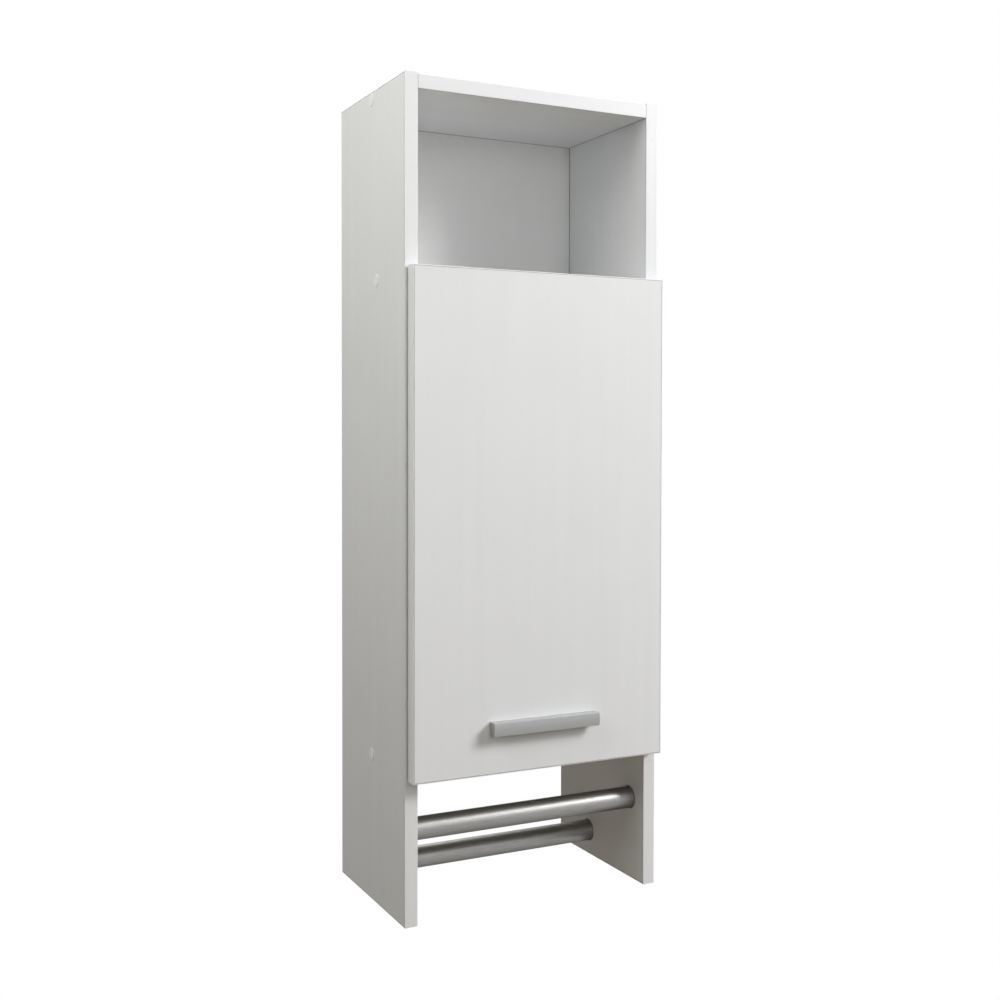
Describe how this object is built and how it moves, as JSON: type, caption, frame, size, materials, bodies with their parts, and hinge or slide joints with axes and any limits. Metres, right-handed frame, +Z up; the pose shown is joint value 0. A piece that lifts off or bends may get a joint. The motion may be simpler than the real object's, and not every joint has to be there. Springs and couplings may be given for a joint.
{
  "type": "wall-mounted bathroom cabinet",
  "caption": "Tall narrow wall cabinet with an open bay over a hinged cupboard door, a finger-pull handle, and side panels that run down to carry tubular towel rails.",
  "frame": {"origin": "on the wall plane, midway between the entry holes of the wall hangers", "axes": "+Z up, +Y towards the wall, +X to the right when the door is faced"},
  "size_m": [0.3142, 0.223, 0.9],
  "materials": {
    "white_board": "matte white melamine facing",
    "white_edging": "matte white edging",
    "white_hardboard": "white lacquered hardboard",
    "rail_satin": "satin",
    "handle_satin": "satin",
    "nickel_steel": "nickel plated",
    "zinc_steel": "zinc plated",
    "white_plastic": "matte",
    "beech": "bare beech",
    "soft_buffer": "translucent"
  },
  "bodies": {
    "carcass": {"left_side_panel": "white_board", "right_side_panel": "white_board", "top_panel": "white_board", "fixed_shelf": "white_board", "bottom_panel": "white_board", "adjustable_shelf": "white_board", "left_side_edging": "white_edging", "right_side_edging": "white_edging", "top_panel_edging": "white_edging", "fixed_shelf_edging": "white_edging", "bottom_panel_edging": "white_edging", "adjustable_shelf_edging": "white_edging", "back_panel": "white_hardboard", "front_towel_rail": "rail_satin", "rear_towel_rail": "rail_satin", "upper_hinge_plate": "nickel_steel", "lower_hinge_plate": "nickel_steel", "upper_hinge_arm": "nickel_steel", "lower_hinge_arm": "nickel_steel", "hinge_arm_pins": "nickel_steel", "left_wall_hanger": "zinc_steel", "right_wall_hanger": "zinc_steel", "hanger_screws": "zinc_steel", "hinge_plate_screws": "zinc_steel", "hinge_arm_screws": "zinc_steel", "joint_screws": "zinc_steel", "screw_cover_caps": "white_plastic", "shelf_pins": "white_plastic", "wooden_dowels": "beech"},
    "upper_outer_link": {"upper_hinge_outer_link": "nickel_steel"},
    "lower_outer_link": {"lower_hinge_outer_link": "nickel_steel"},
    "upper_inner_link": {"upper_hinge_inner_link": "nickel_steel"},
    "lower_inner_link": {"lower_hinge_inner_link": "nickel_steel"},
    "door": {"door_panel": "white_board", "door_edging": "white_edging", "upper_hinge_cup": "nickel_steel", "lower_hinge_cup": "nickel_steel", "hinge_cup_screws": "zinc_steel", "hinge_cup_pins": "nickel_steel", "door_handle": "handle_satin", "handle_screws": "zinc_steel", "door_buffers": "soft_buffer"}
  },
  "joints": [
    {"name": "upper_outer_link_pivot", "type": "hinge", "parent": "carcass", "child": "upper_outer_link", "pos_m": [-0.125, -0.1986, -0.252], "axis": [0, 0, 1], "range_deg": [0, 45]},
    {"name": "upper_inner_link_pivot", "type": "hinge", "parent": "carcass", "child": "upper_inner_link", "pos_m": [-0.1201, -0.2035, -0.252], "axis": [0, 0, 1], "range_deg": [0, 56.5]},
    {"name": "lower_outer_link_pivot", "type": "hinge", "parent": "carcass", "child": "lower_outer_link", "pos_m": [-0.125, -0.1986, -0.614], "axis": [0, 0, 1], "range_deg": [0, 45]},
    {"name": "lower_inner_link_pivot", "type": "hinge", "parent": "carcass", "child": "lower_inner_link", "pos_m": [-0.1201, -0.2035, -0.614], "axis": [0, 0, 1], "range_deg": [0, 56.5]},
    {"name": "door_swing", "type": "hinge", "parent": "upper_outer_link", "child": "door", "pos_m": [-0.1436, -0.2007, -0.252], "axis": [0, 0, -1], "range_deg": [0, 145]}
  ],
  "couplings": [
    {"joint": "upper_outer_link_pivot", "follows": "door_swing", "ratio": 0.31},
    {"joint": "upper_inner_link_pivot", "follows": "door_swing", "ratio": 0.3896},
    {"joint": "lower_outer_link_pivot", "follows": "door_swing", "ratio": 0.31},
    {"joint": "lower_inner_link_pivot", "follows": "door_swing", "ratio": 0.3896}
  ]
}
